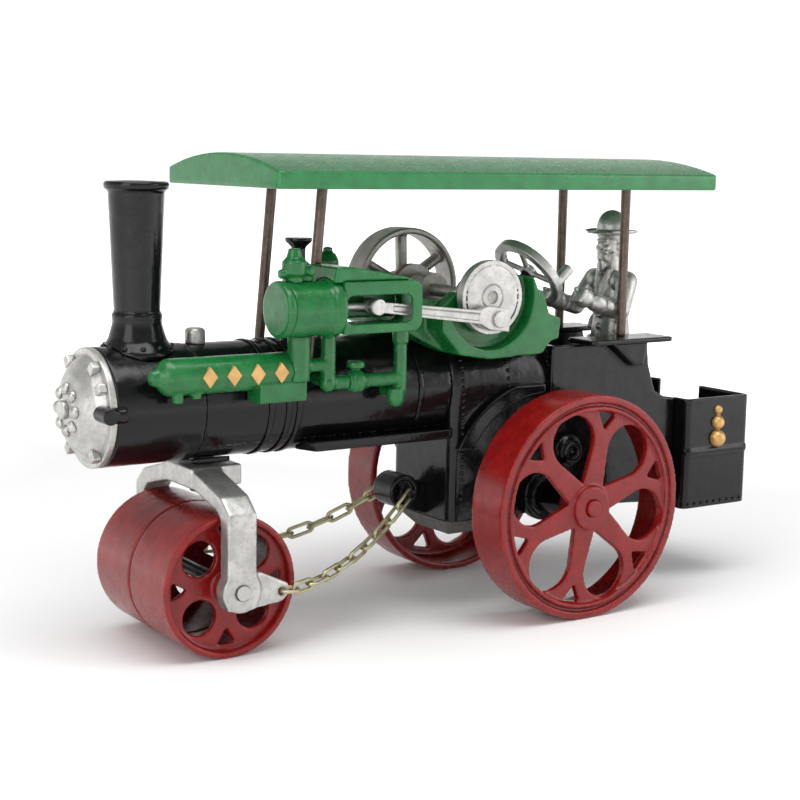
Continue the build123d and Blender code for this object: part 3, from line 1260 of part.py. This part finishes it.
def hang_chain(side):
    """A ring through the fork's lug, then links turned a quarter each time to the spool."""
    start = Vector(RING_BACK - 0.5, side * LUG_Y, LUG_Z)
    end = Vector(SPOOL_X + 0.55, side * PEG_Y, SPOOL_Z)
    points, pitch = hanging_points(start, end, CHAIN_SAG, CHAIN_LINKS)
    plain_link = link_wire(pitch + 4 * WIRE_R + LINK_PLAY, LINK_WIDTH)
    with Locations((RING_X, side * LUG_Y, LUG_Z)):
        Torus(RING_R, 0.5)
    for number in range(CHAIN_LINKS):
        along = points[number + 1] - points[number]
        middle = (points[number + 1] + points[number]) / 2
        level = Vector(0, 0, 1).cross(along).cross(along) * -1
        lie = Plane(origin=middle, x_dir=along, z_dir=level)
        add(lie.location * Rot(X=90 * (1 - number % 2)) * plain_link)


with BuildPart() as chain_near:
    hang_chain(-1)
save(chain_near, "chain_near")

with BuildPart() as chain_far:
    hang_chain(1)
save(chain_far, "chain_far")

# ---- driver -----------------------------------------------------------------

DRIVER_X = 75.0
HAT_Z = 113.8

NEAR_HAND = (51.0, -8.6, 93.4)
FAR_HAND = (53.0, 3.6, 92.6)

with BuildPart() as driver_body:
    with BuildSketch(Plane.XY.offset(FLOOR_Z + 2.0)) as coat:
        with Locations((DRIVER_X, 0)):
            SlotOverall(16.6, 13.0, rotation=90)
    extrude(coat.sketch, amount=61.0)
    fillet(driver_body.faces().sort_by(Axis.Z)[-1].edges(), 4.4)
    for side, hand in ((-1, NEAR_HAND), (1, FAR_HAND)):
        shoulder = Vector(DRIVER_X - 1.0, side * 8.0, 98.0)
        elbow = Vector(DRIVER_X - 6.0, side * 10.4, 89.4)
        wrist = Vector(*hand)
        for near, far, thick in ((shoulder, elbow, 2.9), (elbow, wrist, 2.4)):
            bar(near, far, thick)
            ball(near.X, near.Y, near.Z, thick + 0.15)
        ball(wrist.X, wrist.Y, wrist.Z, 3.6)
save(driver_body, "driver_body")

with BuildPart() as driver_head:
    with Locations((DRIVER_X - 1.6, 0, 109.0)):
        Sphere(5.1)
    rod_z(DRIVER_X - 1.6, 0, 103.4, 108.0, 3.2)
    with BuildSketch(Plane.XY.offset(106.0)) as beard_top:
        with Locations((DRIVER_X - 3.6, 0)):
            Ellipse(3.2, 3.4)
    extrude(beard_top.sketch, amount=-4.6, taper=16)
    block(DRIVER_X - 12, DRIVER_X + 12, -12, 12, 90, 103.4, Mode.SUBTRACT)
    block(DRIVER_X - 12, DRIVER_X + 12, -12, 12, HAT_Z, 125, Mode.SUBTRACT)
    with BuildSketch(Plane.XY.offset(HAT_Z)):
        with Locations((DRIVER_X - 1.2, 0)):
            Ellipse(10.0, 8.0)
    extrude(amount=1.4)
    with BuildSketch(Plane.XY.offset(HAT_Z + 1.4)):
        with Locations((DRIVER_X - 1.2, 0)):
            Ellipse(6.4, 5.6)
    extrude(amount=6.8, taper=12)
    fillet(driver_head.edges().group_by(Axis.Z)[-1], 2.4)
save(driver_head, "driver_head")
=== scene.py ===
"""Looks, light and camera for the toy steam road roller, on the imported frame."""
import json
import math

import bmesh
import bpy
from mathutils import Matrix, Vector

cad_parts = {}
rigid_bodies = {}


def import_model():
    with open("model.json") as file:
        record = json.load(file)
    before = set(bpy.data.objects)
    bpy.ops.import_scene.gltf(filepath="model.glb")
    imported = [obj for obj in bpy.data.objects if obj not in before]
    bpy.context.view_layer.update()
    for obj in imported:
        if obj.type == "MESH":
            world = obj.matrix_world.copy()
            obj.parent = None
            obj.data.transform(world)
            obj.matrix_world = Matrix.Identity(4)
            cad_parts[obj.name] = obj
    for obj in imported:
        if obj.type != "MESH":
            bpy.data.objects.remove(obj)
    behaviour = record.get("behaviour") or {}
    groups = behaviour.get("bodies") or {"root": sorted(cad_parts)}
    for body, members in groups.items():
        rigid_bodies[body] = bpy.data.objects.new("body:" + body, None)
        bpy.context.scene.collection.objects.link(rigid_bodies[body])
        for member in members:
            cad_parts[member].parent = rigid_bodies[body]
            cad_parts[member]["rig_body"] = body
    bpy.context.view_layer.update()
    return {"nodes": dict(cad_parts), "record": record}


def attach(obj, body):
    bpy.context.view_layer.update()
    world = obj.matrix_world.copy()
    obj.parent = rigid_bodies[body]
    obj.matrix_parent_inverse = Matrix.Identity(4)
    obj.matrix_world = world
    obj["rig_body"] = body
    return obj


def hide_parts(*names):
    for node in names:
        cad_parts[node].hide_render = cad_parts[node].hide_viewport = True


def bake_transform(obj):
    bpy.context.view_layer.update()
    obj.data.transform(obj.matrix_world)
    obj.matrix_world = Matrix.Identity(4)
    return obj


MM = 0.001

# Voxel sizes for softened castings: the smaller, the crisper the edges.
SHARP = 0.2 * MM
FINE_SKIN = 0.3 * MM
BROAD_SKIN = 0.42 * MM
FORK_SKIN = 0.4 * MM
RIM_SKIN = 0.28 * MM

TREAD_PITCH = 2.3 * MM
TREAD_DEPTH = 0.5 * MM
FORK_ARM_FROM = 24.6 * MM

# The camera, in millimetres from the middle of the toy's footprint.
EYE = (-281.5, -409.0, 138.0)
BACKWARD = (-0.552, -0.82, 0.151)
SIDEWAYS = (0.831, -0.556, 0.018)
FOCAL_LENGTH = 73.94
SHIFT_X = -0.0051
SHIFT_Y = 0.0044

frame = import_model()
nodes = frame["nodes"]
record = frame["record"]
node_slot = {}
for row in record["subparts"]:
    node_slot[row["node"]] = row["material_slot"]


# ---- materials ---------------------------------------------------------

class Shader:
    """A small helper that wires one procedural material."""

    def __init__(self, name):
        self.material = bpy.data.materials.new(name)
        self.material.use_nodes = True
        self.tree = self.material.node_tree
        self.tree.nodes.clear()
        self.output = self.tree.nodes.new("ShaderNodeOutputMaterial")
        self.shader = self.tree.nodes.new("ShaderNodeBsdfPrincipled")
        self.link(self.shader.outputs[0], self.output.inputs["Surface"])
        self.place = self.tree.nodes.new("ShaderNodeTexCoord").outputs["Object"]
        self.geometry = self.tree.nodes.new("ShaderNodeNewGeometry")

    def link(self, source, target):
        self.tree.links.new(source, target)

    def noise(self, scale, detail=3.0, rough=0.5):
        node = self.tree.nodes.new("ShaderNodeTexNoise")
        node.inputs["Scale"].default_value = scale
        node.inputs["Detail"].default_value = detail
        node.inputs["Roughness"].default_value = rough
        self.link(self.place, node.inputs["Vector"])
        return node.outputs["Fac"]

    def spread(self, value, low, high, to_low=0.0, to_high=1.0):
        node = self.tree.nodes.new("ShaderNodeMapRange")
        node.inputs["From Min"].default_value = low
        node.inputs["From Max"].default_value = high
        node.inputs["To Min"].default_value = to_low
        node.inputs["To Max"].default_value = to_high
        self.link(value, node.inputs["Value"])
        return node.outputs["Result"]

    def math(self, operation, a, b=0.0):
        node = self.tree.nodes.new("ShaderNodeMath")
        node.operation = operation
        for socket, value in ((node.inputs[0], a), (node.inputs[1], b)):
            if isinstance(value, (int, float)):
                socket.default_value = value
            else:
                self.link(value, socket)
        return node.outputs[0]

    def mix(self, share, a, b):
        node = self.tree.nodes.new("ShaderNodeMix")
        node.data_type = "RGBA"
        self.link(share, node.inputs[0])
        for socket, value in ((node.inputs[6], a), (node.inputs[7], b)):
            if isinstance(value, tuple):
                socket.default_value = (*value, 1.0)
            else:
                self.link(value, socket)
        return node.outputs[2]

    def bump(self, height, depth, strength=1.0, under=None):
        node = self.tree.nodes.new("ShaderNodeBump")
        node.inputs["Strength"].default_value = strength
        node.inputs["Distance"].default_value = depth
        self.link(height, node.inputs["Height"])
        if under is not None:
            self.link(under, node.inputs["Normal"])
        return node.outputs["Normal"]

    def part_of_place(self, axis):
        node = self.tree.nodes.new("ShaderNodeSeparateXYZ")
        self.link(self.place, node.inputs[0])
        return node.outputs[axis]


def shade(c, k):
    return (c[0] * k, c[1] * k, c[2] * k)


def surface(name, colour, rough, metal=0.0, coat=0.0, lumps=0.00012, grain=0.00002,
            painted_hollow_shade=None, worn=None, worn_from=0.56, mottle=None, shine=0.5):
    """Painted or bare casting.

    The colour is uneven, darkened in the hollows with painted shade and rubbed on the edges.
    Lumps and grain are bump depths in metres. Returns the shader and the last bump, for a pattern to build
    on.
    """
    s = Shader(name)
    uneven = s.spread(s.noise(220.0, 4.0), 0.35, 0.65)
    base = s.mix(uneven, shade(colour, 0.84), shade(colour, 1.14))
    if mottle is not None:
        patches = s.spread(s.noise(900.0, 6.0, 0.7), 0.5, 0.62, 0.0, 0.8)
        base = s.mix(patches, base, mottle)
    edge = s.geometry.outputs["Pointiness"]
    # Painted shade: where the surface is concave (low pointiness) the colour fades to a darker copy of the
    # paint.
    if painted_hollow_shade is not None:
        low = s.spread(edge, 0.49, 0.43, 0.0, 0.85)
        base = s.mix(low, base, painted_hollow_shade)
    if worn is not None:
        broken = s.spread(s.noise(1300.0, 5.0, 0.65), 0.48, 0.6)
        high = s.math("MULTIPLY", s.spread(edge, worn_from, worn_from + 0.06), broken)
        base = s.mix(high, base, worn)
    s.link(base, s.shader.inputs["Base Color"])
    s.link(s.spread(s.noise(420.0, 5.0, 0.6), 0.3, 0.7, max(0.03, rough - 0.07), rough + 0.1),
           s.shader.inputs["Roughness"])
    s.shader.inputs["Metallic"].default_value = metal
    s.shader.inputs["Specular IOR Level"].default_value = shine
    s.shader.inputs["Coat Weight"].default_value = coat
    s.shader.inputs["Coat Roughness"].default_value = 0.08
    soft = s.bump(s.noise(230.0, 3.0, 0.45), lumps)
    fine = s.bump(s.noise(1500.0, 4.0, 0.6), grain, 1.0, soft)
    s.link(fine, s.shader.inputs["Normal"])
    return s, fine


def tread(s, under):
    """A fine diamond tread, on faces that look up."""
    x = s.part_of_place(0)
    y = s.part_of_place(1)
    ridges = []
    for one in (s.math("ADD", x, y), s.math("SUBTRACT", x, y)):
        wave = s.math("PINGPONG", s.math("DIVIDE", one, TREAD_PITCH), 0.5)
        ridges.append(s.spread(wave, 0.0, 0.22))
    diamonds = s.math("MULTIPLY", ridges[0], ridges[1])
    up = s.tree.nodes.new("ShaderNodeSeparateXYZ")
    s.link(s.geometry.outputs["True Normal"], up.inputs[0])
    on_top = s.spread(up.outputs[2], 0.82, 0.9)
    raised = s.bump(s.math("MULTIPLY", diamonds, on_top), TREAD_DEPTH, 1.0, under)
    s.link(raised, s.shader.inputs["Normal"])


GREEN = (0.006, 0.125, 0.026)
SILVER = (0.5, 0.495, 0.475)
looks = {}
# The hollow colours below are painted shade, darker copies of each finish laid in the hollows.
looks["enamel_red"] = surface("enamel_red", (0.21, 0.006, 0.006), 0.26, coat=0.1, shine=0.4,
                              painted_hollow_shade=(0.06, 0.002, 0.003), worn=(0.34, 0.05, 0.045), worn_from=0.6)[0]
looks["enamel_green"] = surface("enamel_green", GREEN, 0.25, coat=0.1, shine=0.45, lumps=0.00016,
                                painted_hollow_shade=(0.002, 0.04, 0.009), worn=(0.04, 0.26, 0.08), worn_from=0.59)[0]
looks["enamel_black"] = surface("enamel_black", (0.0035, 0.0035, 0.004), 0.17, coat=0.05, shine=0.3,
                                lumps=0.00018, painted_hollow_shade=(0.003, 0.003, 0.003),
                                worn=(0.05, 0.05, 0.052), worn_from=0.6)[0]
looks["cast_silver"] = surface("cast_silver", SILVER, 0.36, metal=0.78, lumps=0.00013, grain=0.00003,
                               painted_hollow_shade=(0.03, 0.028, 0.025), worn=(0.76, 0.76, 0.75), worn_from=0.55,
                               mottle=(0.38, 0.375, 0.36))[0]
looks["flywheel_grey"] = surface("flywheel_grey", (0.34, 0.325, 0.3), 0.42, metal=0.8,
                                 painted_hollow_shade=(0.03, 0.028, 0.025), worn=(0.45, 0.43, 0.4), worn_from=0.55)[0]
looks["dull_steel"] = surface("dull_steel", (0.11, 0.085, 0.07), 0.38, metal=0.8, lumps=0.00004,
                              mottle=(0.17, 0.12, 0.09))[0]
looks["zinc_chain"] = surface("zinc_chain", (0.46, 0.44, 0.27), 0.33, metal=0.85, lumps=0.00003)[0]
looks["gold_paint"] = surface("gold_paint", (0.6, 0.36, 0.13), 0.38, metal=0.6, lumps=0.0001,
                              painted_hollow_shade=(0.25, 0.13, 0.04))[0]
looks["belt_rubber"] = surface("belt_rubber", (0.21, 0.085, 0.03), 0.6, lumps=0.00005,
                               mottle=(0.13, 0.05, 0.02))[0]
looks["ash_grey"] = surface("ash_grey", (0.12, 0.12, 0.115), 0.5, metal=0.3, lumps=0.0002,
                            mottle=(0.03, 0.03, 0.03))[0]
# The roof's green and its hollow colour are lighter copies of the green enamel: painted light on the
# top-facing canopy.
canopy_look, canopy_bump = surface("canopy_green_painted_light", (0.008, 0.15, 0.036), 0.3, coat=0.1, lumps=0.0001,
                                   painted_hollow_shade=(0.003, 0.05, 0.014))
tread(canopy_look, canopy_bump)

# The roller axle is black between the fork's arms and silver where it shows through them.
axle_look = surface("axle_in_fork", (0.0045, 0.0045, 0.005), 0.3)[0]
off_middle = axle_look.math("ABSOLUTE", axle_look.part_of_place(1))
at_end = axle_look.math("GREATER_THAN", off_middle, FORK_ARM_FROM)
painted = axle_look.shader.inputs["Base Color"].links[0].from_socket
axle_look.link(axle_look.mix(at_end, painted, SILVER), axle_look.shader.inputs["Base Color"])
axle_look.link(at_end, axle_look.shader.inputs["Metallic"])


# ---- pieces from the frame -----------------------------------------------

def settle(piece):
    """Turns the piece's modifiers into its mesh."""
    graph = bpy.context.evaluated_depsgraph_get()
    solid = bpy.data.meshes.new_from_object(piece.evaluated_get(graph))
    piece.modifiers.clear()
    piece.data = solid
    for face in solid.polygons:
        face.use_smooth = True


def soften(piece, voxel, rounds):
    """Rounds a piece's edges as thick paint on a casting does."""
    remesh = piece.modifiers.new("skin", "REMESH")
    remesh.mode = "VOXEL"
    remesh.voxel_size = voxel
    smooth = piece.modifiers.new("round", "SMOOTH")
    smooth.factor = 0.5
    smooth.iterations = rounds
    settle(piece)


def wear(piece, look):
    piece.data.materials.clear()
    piece.data.materials.append(look.material)


def cast_copy(name, voxel=BROAD_SKIN, rounds=5, look=None, body=None):
    """A softened copy of one CAD piece, standing for it."""
    node = nodes[name]
    piece = bpy.data.objects.new("cast_" + name, node.data.copy())
    bpy.context.scene.collection.objects.link(piece)
    if voxel:
        soften(piece, voxel, rounds)
    wear(piece, look or looks[node_slot[name]])
    if body is None:
        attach(piece, node["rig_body"])
    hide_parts(name)
    return piece


FINE = (
    "door_trim", "cylinder_fittings", "globe_valve",
    "filler_plug", "cylinder_cover", "steam_pipes", "crosshead_guide", "safety_valve",
    "door_hinge", "steam_turret", "feed_heater", "chain_spool", "smokebox_door", "front_hoop", "rear_hoop",
)
BROAD = ("canopy", "boiler", "firebox", "cab_sides", "smokebox", "tender", "engine_bed",
         "chimney", "valve_chest", "cylinder", "flywheel", "side_ledges", "cab_seats", "gear_guards",
         "axle_housings", "fork_pedestal", "steering_column", "rear_wheel_near", "rear_wheel_far",
         "roller_near", "roller_far", "boiler_bands")

for name in FINE:
    cast_copy(name, FINE_SKIN, 6 if name == "crosshead_guide" else 4)
cast_copy("steering_wheel", RIM_SKIN, 14)
cast_copy("fork", FORK_SKIN, 18)
for name in ("crosshead", "connecting_rod", "crank_disc", "crank_pin"):
    cast_copy(name, SHARP, 3)
for name in BROAD:
    cast_copy(name, look=canopy_look if name == "canopy" else None)


# ---- driver ------------------------------------------------------------------

class Figure:
    """Collects round shapes, in millimetres, to be fused into one casting."""

    def __init__(self):
        self.shape = bmesh.new()

    def ball(self, centre, radii, tilt=0.0):
        size = Matrix.Diagonal((*[r * MM for r in radii], 1.0))
        turn = Matrix.Rotation(math.radians(tilt), 4, "Y")
        place = Matrix.Translation(Vector(centre) * MM) @ turn @ size
        bmesh.ops.create_uvsphere(self.shape, u_segments=28, v_segments=18, radius=1.0, matrix=place)

    def limb(self, start, end, r_start, r_end, flat=1.0):
        a = Vector(start)
        b = Vector(end)
        turn = (b - a).to_track_quat("Z", "Y").to_matrix().to_4x4()
        place = Matrix.Translation((a + b) / 2 * MM) @ turn @ Matrix.Diagonal((1.0, flat, 1.0, 1.0))
        bmesh.ops.create_cone(self.shape, cap_ends=True, segments=28, radius1=r_start * MM,
                              radius2=r_end * MM, depth=(b - a).length * MM, matrix=place)
        self.ball(start, (r_start * 0.98,) * 3)
        self.ball(end, (r_end * 0.98,) * 3)

    def finish(self, name, replaced, voxel, rounds):
        mesh = bpy.data.meshes.new(name)
        self.shape.to_mesh(mesh)
        self.shape.free()
        piece = bpy.data.objects.new(name, mesh)
        bpy.context.scene.collection.objects.link(piece)
        soften(piece, voxel, rounds)
        wear(piece, looks["cast_silver"])
        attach(piece, "chassis")
        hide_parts(replaced)


body = Figure()
STAND = 75.0
TORSO = (
    (54, (6.3, 7.6, 12.5)),
    (68, (6.1, 7.5, 14)),
    (80, (5.8, 7.0, 13)),
    (91, (5.7, 7.4, 11.0)),
)
for height, radii in TORSO:
    body.ball((STAND, 0, height), radii)
for side in (-1, 1):
    body.ball((STAND - 0.8, side * 5.6, 98.0), (4.0, 3.8, 3.6))
    body.limb((STAND - 3.4, side * 2.6, 101.4), (STAND - 5.6, side * 0.7, 91.0), 1.1, 0.9)
    body.limb((STAND - 4.6, side * 4.6, 78.5), (STAND - 3.8, side * 6.0, 79.0), 0.8, 0.8)
    for step in range(3):
        body.ball((STAND - 2.6 + step * 2.2, side * 6.5, 84 - step * 3), (1.2, 0.6, 3.0), 24)
for button in range(4):
    body.ball((STAND - 5.9, -0.5, 90.0 - button * 3.4), (0.8, 0.8, 0.8))
# Shoulder, elbow, cuff and hand of each arm, reaching for the steering wheel.
arms = (
    ((STAND - 0.6, -8.0, 98.0), (STAND - 5.4, -11.2, 89.4), (57.0, -13.2, 92.4), (51.8, -13.6, 94.0)),
    ((STAND - 0.6, 8.0, 98.0), (STAND - 6.2, 10.4, 89.0), (57.4, 5.6, 91.4), (53.4, 4.0, 92.6)),
)
for shoulder, elbow, cuff, hand in arms:
    body.limb(shoulder, elbow, 3.5, 2.9)
    body.limb(elbow, cuff, 3.0, 2.6)
    reach = (Vector(hand) - Vector(cuff)).normalized()
    body.limb(Vector(cuff) - reach * 1.4, Vector(cuff) + reach * 0.3, 3.1, 3.1)
    body.limb(cuff, hand, 1.9, 2.2)
    body.ball(hand, (3.4, 3.1, 3.2))
    for finger in range(4):
        root = Vector(hand) + Vector((-1.2, -2.1 + finger * 1.35, 2.3))
        body.limb(root, root + Vector((-1.9, 0, -2.9)), 0.95, 0.8)
    body.limb(Vector(hand) + Vector((-0.2, 1.4, 1.8)), Vector(hand) + Vector((-2.6, 0.8, 2.9)), 0.95, 0.75)
    for fold in range(3):
        crease = Vector(elbow).lerp(Vector(cuff), 0.12 + 0.2 * fold)
        body.ball(crease, (1.0, 3.0, 2.9), -12)
body.finish("driver_coat", "driver_body", 0.3 * MM, 3)

head = Figure()
FACE = 73.8
head.limb((FACE + 0.6, 0, 101.2), (FACE + 0.2, 0, 107.0), 3.1, 2.8)
head.ball((FACE, 0, 109.3), (4.3, 3.7, 4.9))
head.ball((FACE + 1.6, 0, 108.2), (3.2, 3.8, 4.0))
head.ball((FACE - 3.5, 0, 111.0), (1.0, 2.7, 0.55))
head.ball((FACE - 4.3, 0, 109.4), (0.95, 0.6, 1.35), -18)
for side in (-1, 1):
    head.ball((FACE - 3.1, side * 1.9, 108.5), (1.2, 1.1, 1.2))
    head.ball((FACE - 3.75, side * 1.4, 110.0), (0.5, 0.62, 0.36))
    head.limb((FACE - 4.2, side * 0.2, 107.7), (FACE - 3.3, side * 2.4, 107.0), 0.72, 0.42)
    head.ball((FACE + 0.4, side * 3.8, 109.2), (0.85, 0.5, 1.35))
    for lock in range(4):
        head.limb((FACE - 2.4 + 0.3 * lock, side * (0.6 + 0.8 * lock), 106.6),
                  (FACE - 3.4 + 0.5 * lock, side * (0.4 + 0.5 * lock), 101.6 + 0.5 * lock), 0.95, 0.5)
head.ball((FACE - 2.3, 0, 105.4), (2.1, 3.0, 2.8))
head.ball((FACE - 3.2, 0, 103.2), (1.5, 1.9, 2.9), 14)
head.limb((FACE - 3.2, 0, 104.0), (FACE - 4.2, 0, 100.2), 1.6, 0.5)
head.ball((FACE + 0.4, 0, 113.5), (8.9, 7.2, 0.75))
head.ball((FACE + 0.4, 0, 115.4), (5.1, 4.6, 5.4))
head.limb((FACE + 0.4, 0, 114.2), (FACE + 0.4, 0, 115.2), 5.15, 5.1, 0.92)
for side in (-1, 1):
    head.ball((FACE + 0.4, side * 6.5, 114.0), (6.0, 0.9, 0.7))
head.finish("driver_head_and_hat", "driver_head", 0.24 * MM, 2)


# ---- chains, belt and plain turned pieces -----------------------------------

for name in ("chain_near", "chain_far"):
    piece = cast_copy(name, voxel=0, body="both")
    for face in piece.data.polygons:
        face.use_smooth = True
    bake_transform(piece)

for name, node in nodes.items():
    if not node.hide_render:
        node.data.materials.clear()
        look = axle_look if name == "roller_axle" else looks[node_slot[name]]
        node.data.materials.append(look.material)


# ---- floor, light and camera ---------------------------------------------------

bpy.ops.mesh.primitive_plane_add(size=6.0, location=(0, 0, 0))
floor = bpy.context.object
floor.name = "floor"
# A white sweep: the sheet glows more the further it is from the toy.
paper = Shader("paper")
tone = paper.mix(paper.spread(paper.noise(6.0), 0.3, 0.7), (0.9, 0.9, 0.9), (0.93, 0.93, 0.93))
paper.link(tone, paper.shader.inputs["Base Color"])
paper.shader.inputs["Roughness"].default_value = 0.6
across = paper.math("ABSOLUTE", paper.part_of_place(0))
along = paper.math("ABSOLUTE", paper.part_of_place(1))
far_off = paper.spread(paper.math("ADD", across, along), 0.28, 0.9)
paper.shader.inputs["Emission Color"].default_value = (1.0, 1.0, 1.0, 1.0)
paper.link(far_off, paper.shader.inputs["Emission Strength"])
paper.link(paper.bump(paper.noise(900.0, 4.0), 0.00003), paper.shader.inputs["Normal"])
floor.data.materials.append(paper.material)

world = bpy.data.worlds.new("studio")
bpy.context.scene.world = world
world.use_nodes = True
# White near the horizon, dimmer overhead.
sky = world.node_tree
heading = sky.nodes.new("ShaderNodeTexCoord")
height = sky.nodes.new("ShaderNodeSeparateXYZ")
dimmer = sky.nodes.new("ShaderNodeMapRange")
sky.links.new(heading.outputs["Generated"], height.inputs[0])
sky.links.new(height.outputs[2], dimmer.inputs["Value"])
for socket, value in (("From Min", 0.14), ("From Max", 0.4), ("To Min", 1.12), ("To Max", 0.42)):
    dimmer.inputs[socket].default_value = value
sky.nodes["Background"].inputs["Color"].default_value = (1.0, 1.0, 1.0, 1.0)
sky.links.new(dimmer.outputs["Result"], sky.nodes["Background"].inputs["Strength"])
bpy.context.scene.view_settings.view_transform = "Standard"


def softbox(name, place, target, size, power):
    lamp = bpy.data.lights.new(name, "AREA")
    lamp.shape = "RECTANGLE"
    lamp.size, lamp.size_y = size
    lamp.energy = power
    holder = bpy.data.objects.new(name, lamp)
    bpy.context.scene.collection.objects.link(holder)
    holder.location = place
    holder.rotation_euler = (Vector(target) - Vector(place)).to_track_quat("-Z", "Y").to_euler()


# Name, place, target, size in metres and power in watts.
softbox("top", (-0.1, -0.15, 0.85), (0, 0, 0.05), (0.9, 0.5), 6.0)
softbox("left", (-0.8, -0.35, 0.45), (0, 0, 0.06), (0.5, 0.6), 2.6)
softbox("right", (0.75, -0.6, 0.4), (0, 0, 0.06), (0.4, 0.6), 2.0)

back = Vector(BACKWARD).normalized()
right = Vector(SIDEWAYS)
right = (right - back * right.dot(back)).normalized()
up = back.cross(right)
lens = bpy.data.cameras.new("camera")
lens.lens = FOCAL_LENGTH
lens.sensor_width = 36.0
lens.shift_x = SHIFT_X
lens.shift_y = SHIFT_Y
lens.clip_start = 0.01
lens.clip_end = 20.0
camera = bpy.data.objects.new("camera", lens)
bpy.context.scene.collection.objects.link(camera)
pose = Matrix((right, up, back)).transposed().to_4x4()
pose.translation = Vector(EYE) * MM
camera.matrix_world = pose
bpy.context.scene.camera = camera
